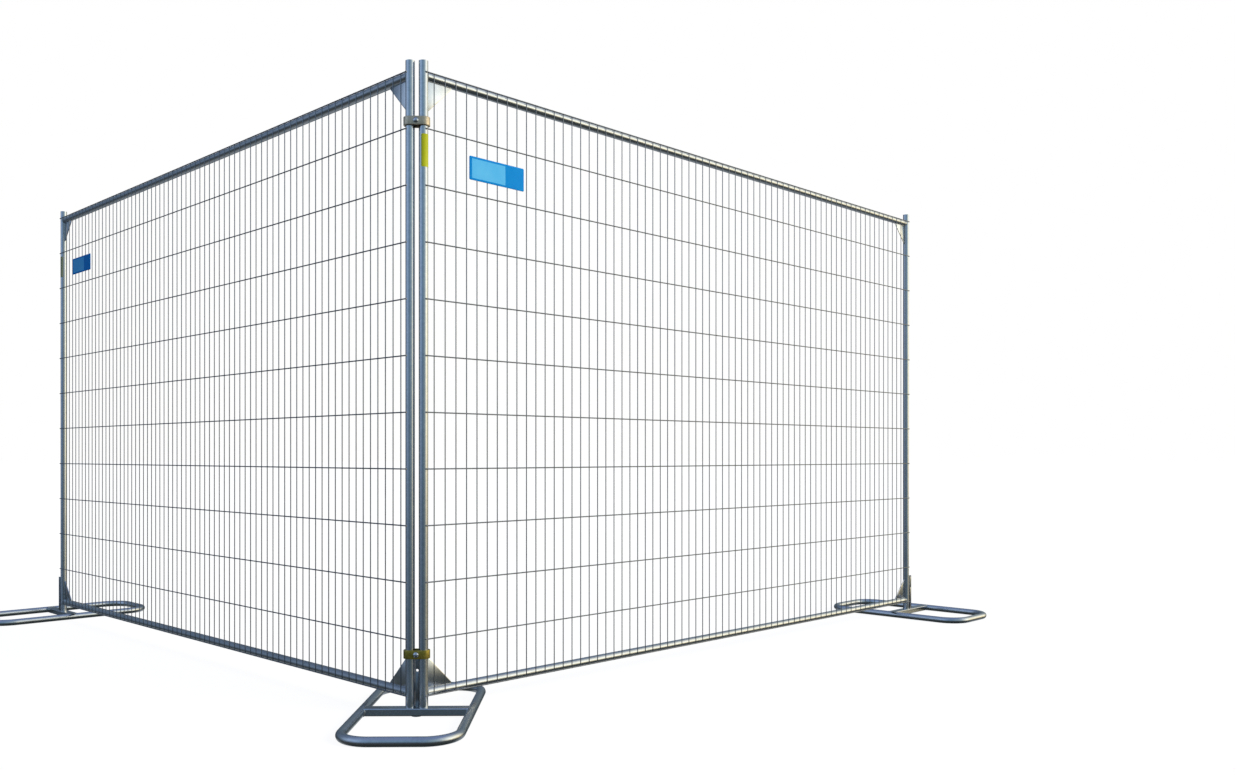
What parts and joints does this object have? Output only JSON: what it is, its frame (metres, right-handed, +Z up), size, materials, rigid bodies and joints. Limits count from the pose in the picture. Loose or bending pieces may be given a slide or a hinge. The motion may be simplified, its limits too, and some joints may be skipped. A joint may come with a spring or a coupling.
{
  "type": "temporary fence corner set",
  "caption": "Corner of a temporary mesh fence: welded wire panels on tubular stands, clamped post to post by bolted couplers, with panels that swing and stands that turn.",
  "frame": {"origin": "on the ground, at the middle of the set's outline", "axes": "+X along the corner stand's crossbar, to the right seen from outside the corner; +Y along the corner's bisector, into the fenced side; +Z up"},
  "size_m": [5.985, 3.4153, 2.442],
  "materials": {
    "galvanised_tube": "galvanised, satin",
    "galvanised_wire": "galvanised, satin",
    "sign_blue": "printed, plain",
    "label_yellow": "adhesive film, plain",
    "yellow_zinc": "yellow passivated zinc",
    "bright_zinc": "bright zinc"
  },
  "bodies": {
    "corner_base": {"corner_stand_loop": "galvanised_tube", "corner_stand_crossbar": "galvanised_tube", "corner_stand_upright": "galvanised_tube", "corner_stand_spigots": "galvanised_tube", "corner_stand_pad": "galvanised_tube", "upper_coupler_front_jaw": "yellow_zinc", "upper_coupler_bolt": "bright_zinc", "lower_coupler_front_jaw": "yellow_zinc", "lower_coupler_bolt": "bright_zinc"},
    "right_panel": {"right_corner_post": "galvanised_tube", "right_end_post": "galvanised_tube", "right_top_rail": "galvanised_tube", "right_bottom_rail": "galvanised_tube", "right_vertical_wires": "galvanised_wire", "right_horizontal_wires": "galvanised_wire", "right_gusset_corner_top": "galvanised_tube", "right_gusset_corner_bottom": "galvanised_tube", "right_gusset_end_top": "galvanised_tube", "right_gusset_end_bottom": "galvanised_tube", "right_sign_plate": "sign_blue", "right_sign_clamps": "galvanised_tube", "right_post_label": "label_yellow"},
    "left_panel": {"left_corner_post": "galvanised_tube", "left_end_post": "galvanised_tube", "left_top_rail": "galvanised_tube", "left_bottom_rail": "galvanised_tube", "left_vertical_wires": "galvanised_wire", "left_horizontal_wires": "galvanised_wire", "left_gusset_corner_top": "galvanised_tube", "left_gusset_corner_bottom": "galvanised_tube", "left_gusset_end_top": "galvanised_tube", "left_gusset_end_bottom": "galvanised_tube", "left_sign_plate": "sign_blue", "left_sign_clamps": "galvanised_tube", "left_post_label": "label_yellow"},
    "right_stand": {"right_stand_loop": "galvanised_tube", "right_stand_crossbar": "galvanised_tube", "right_stand_upright": "galvanised_tube", "right_stand_spigot": "galvanised_tube", "right_stand_pad": "galvanised_tube"},
    "left_stand": {"left_stand_loop": "galvanised_tube", "left_stand_crossbar": "galvanised_tube", "left_stand_upright": "galvanised_tube", "left_stand_spigot": "galvanised_tube", "left_stand_pad": "galvanised_tube"},
    "upper_jaw": {"upper_coupler_rear_jaw": "yellow_zinc", "upper_coupler_washer": "bright_zinc"},
    "upper_nut": {"upper_coupler_nut": "bright_zinc"},
    "lower_jaw": {"lower_coupler_rear_jaw": "yellow_zinc", "lower_coupler_washer": "bright_zinc"},
    "lower_nut": {"lower_coupler_nut": "bright_zinc"}
  },
  "joints": [
    {"name": "right_panel_swing", "type": "hinge", "parent": "corner_base", "child": "right_panel", "pos_m": [0.02475, -1.26023, 0], "axis": [0, 0, 1], "range_deg": [-60, 20]},
    {"name": "left_panel_swing", "type": "hinge", "parent": "corner_base", "child": "left_panel", "pos_m": [-0.02475, -1.26023, 0], "axis": [0, 0, 1], "range_deg": [-20, 60]},
    {"name": "right_stand_turn", "type": "hinge", "parent": "right_panel", "child": "right_stand", "pos_m": [2.55633, 1.27135, 0], "axis": [0, 0, 1], "range_deg": [-30, 30]},
    {"name": "left_stand_turn", "type": "hinge", "parent": "left_panel", "child": "left_stand", "pos_m": [-2.55633, 1.27135, 0], "axis": [0, 0, 1], "range_deg": [-30, 30]},
    {"name": "upper_jaw_slide", "type": "slide", "parent": "corner_base", "child": "upper_jaw", "axis": [0, 1, 0], "range_m": [0, 0.004]},
    {"name": "upper_nut_turn", "type": "hinge", "parent": "upper_jaw", "child": "upper_nut", "pos_m": [0, -1.26023, 2.215], "axis": [0, 1, 0], "range_deg": [0, 1153]},
    {"name": "lower_jaw_slide", "type": "slide", "parent": "corner_base", "child": "lower_jaw", "axis": [0, 1, 0], "range_m": [0, 0.004]},
    {"name": "lower_nut_turn", "type": "hinge", "parent": "lower_jaw", "child": "lower_nut", "pos_m": [0, -1.26023, 0.231], "axis": [0, 1, 0], "range_deg": [0, 1153]}
  ],
  "couplings": [
    {"joint": "upper_nut_turn", "follows": "upper_jaw_slide", "rad_per_m": 5026.5},
    {"joint": "lower_nut_turn", "follows": "lower_jaw_slide", "rad_per_m": 5026.5}
  ]
}
